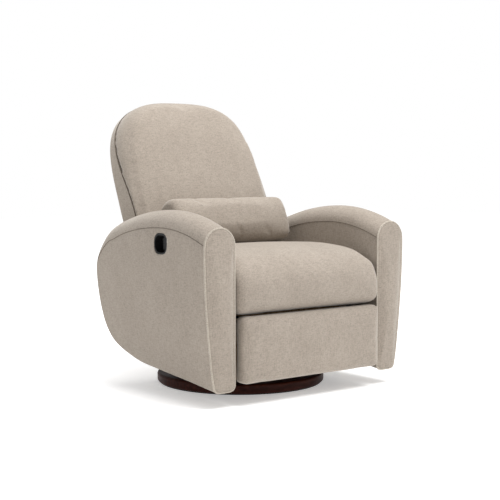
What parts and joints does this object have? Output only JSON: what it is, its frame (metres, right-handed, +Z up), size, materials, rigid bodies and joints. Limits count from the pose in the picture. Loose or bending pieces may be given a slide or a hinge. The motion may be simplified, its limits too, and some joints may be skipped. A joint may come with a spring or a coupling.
{
  "type": "glider nursery chair",
  "caption": "Upholstered swivel glider armchair with rounded arms, reclining arched back, fold-out footrest, recessed side release and loose lumbar pillow.",
  "frame": {"origin": "centre of the round base on the floor", "axes": "+Z up, the chair faces -Y, +X to the right seen from the front"},
  "size_m": [0.846, 0.8655, 0.984],
  "materials": {
    "upholstery": "woven",
    "welt": "piping",
    "base_wood": "dark satin stain",
    "frame_wood": "raw",
    "steel": "satin black",
    "zinc": "zinc plated",
    "rubber": "matte",
    "webbing": "elastic webbing",
    "handle": "gloss black",
    "cable": "matte black sheath"
  },
  "bodies": {
    "base": {"floor_pad": "rubber", "base_disc": "base_wood", "swivel_lower_plate": "steel", "base_screws": "zinc", "swivel_pin": "zinc", "swivel_nut": "zinc"},
    "ball_race": {"ball_cage": "zinc", "bearing_balls": "zinc"},
    "swivel_frame": {"swivel_upper_plate": "steel", "glider_frame": "steel", "glider_towers": "steel", "swivel_bolts": "zinc", "glide_bumpers": "rubber", "glide_upper_pins": "zinc"},
    "front_glide": {"front_glide_links": "steel"},
    "rear_glide": {"rear_glide_links": "steel"},
    "release": {"release_paddle": "handle"},
    "latch": {"latch_pawl": "zinc"},
    "front_swing": {"drive_tube": "steel", "front_swing_arms": "steel"},
    "rear_swing": {"rear_swing_arms": "steel"},
    "link_bar": {"link_bars": "steel"},
    "control_link": {"control_links": "steel"},
    "footrest": {"footrest_brackets": "steel", "footrest_board": "frame_wood", "footrest_pad": "upholstery"},
    "back": {"back_frame": "frame_wood", "back_webbing": "webbing", "back_cushion": "upholstery", "back_shell": "upholstery", "back_brackets": "steel", "back_pivots": "zinc"},
    "pillow": {"lumbar_pillow": "upholstery"},
    "chassis": {"side_plate_left": "steel", "side_plate_right": "steel", "glide_lower_pins": "zinc", "seat_frame": "frame_wood", "seat_springs": "zinc", "seat_cushion": "upholstery", "arm_brackets": "steel", "kick_panel": "upholstery", "arm_frame_left": "frame_wood", "arm_cover_left": "upholstery", "arm_facing_left": "upholstery", "arm_welt_left": "welt", "arm_frame_right": "frame_wood", "arm_cover_right": "upholstery", "arm_facing_right": "upholstery", "arm_welt_right": "welt", "arm_bolts": "zinc", "handle_cup": "handle", "paddle_pin": "zinc", "release_cable": "cable", "latch_bracket": "steel", "swing_springs": "zinc", "rear_swing_pivots": "zinc"}
  },
  "joints": [
    {"name": "swivel", "type": "hinge", "parent": "base", "child": "swivel_frame", "pos_m": [0, 0, 0.05], "axis": [0, 0, 1], "continuous": true},
    {"name": "ball_roll", "type": "hinge", "parent": "base", "child": "ball_race", "pos_m": [0, 0, 0.05], "axis": [0, 0, 1], "continuous": true},
    {"name": "glide", "type": "hinge", "parent": "swivel_frame", "child": "front_glide", "pos_m": [0, -0.14, 0.19], "axis": [1, 0, 0], "range_deg": [-28, 28]},
    {"name": "glide_rear", "type": "hinge", "parent": "swivel_frame", "child": "rear_glide", "pos_m": [0, 0.07, 0.19], "axis": [1, 0, 0], "range_deg": [-28, 28]},
    {"name": "glide_seat", "type": "hinge", "parent": "front_glide", "child": "chassis", "pos_m": [0, -0.14, 0.09], "axis": [1, 0, 0], "range_deg": [-28, 28]},
    {"name": "recline", "type": "hinge", "parent": "chassis", "child": "back", "pos_m": [0, 0.11, 0.285], "axis": [-1, 0, 0], "range_deg": [0, 30]},
    {"name": "footrest_open", "type": "hinge", "parent": "chassis", "child": "front_swing", "pos_m": [0, -0.296, 0.256], "axis": [-1, 0, 0], "range_deg": [0, 92]},
    {"name": "footrest_rear_swing", "type": "hinge", "parent": "chassis", "child": "rear_swing", "pos_m": [0, -0.234, 0.224], "axis": [-1, 0, 0], "range_deg": [0, 92]},
    {"name": "footrest_link", "type": "hinge", "parent": "front_swing", "child": "link_bar", "pos_m": [0, -0.23957, 0.10095], "axis": [-1, 0, 0], "range_deg": [-92, 0]},
    {"name": "footrest_control", "type": "hinge", "parent": "front_swing", "child": "control_link", "pos_m": [0, -0.23957, 0.06095], "axis": [-1, 0, 0], "range_deg": [-92, 0]},
    {"name": "footrest_tilt", "type": "hinge", "parent": "link_bar", "child": "footrest", "pos_m": [0, -0.31597, 0.24595], "axis": [-1, 0, 0], "range_deg": [0, 92]},
    {"name": "release_pull", "type": "hinge", "parent": "chassis", "child": "release", "pos_m": [-0.406, -0.153, 0.501], "axis": [0, 0, 1], "range_deg": [0, 25], "stiffness_Nm_per_rad": 0.6, "springref_deg": -11.46},
    {"name": "latch_lift", "type": "hinge", "parent": "chassis", "child": "latch", "pos_m": [0, -0.254, 0.195], "axis": [-1, 0, 0], "range_deg": [0, 25]},
    {"name": "pillow_lift", "type": "slide", "parent": "chassis", "child": "pillow", "axis": [0, 0, 1], "range_m": [0, 0.5]}
  ],
  "couplings": [
    {"joint": "ball_roll", "follows": "swivel", "ratio": 0.5},
    {"joint": "glide_rear", "follows": "glide", "ratio": 1},
    {"joint": "glide_seat", "follows": "glide", "ratio": -1},
    {"joint": "footrest_rear_swing", "follows": "footrest_open", "ratio": 1},
    {"joint": "footrest_link", "follows": "footrest_open", "ratio": -1},
    {"joint": "footrest_control", "follows": "footrest_open", "ratio": -1},
    {"joint": "footrest_tilt", "follows": "footrest_open", "ratio": 1},
    {"joint": "latch_lift", "follows": "release_pull", "ratio": 1}
  ]
}
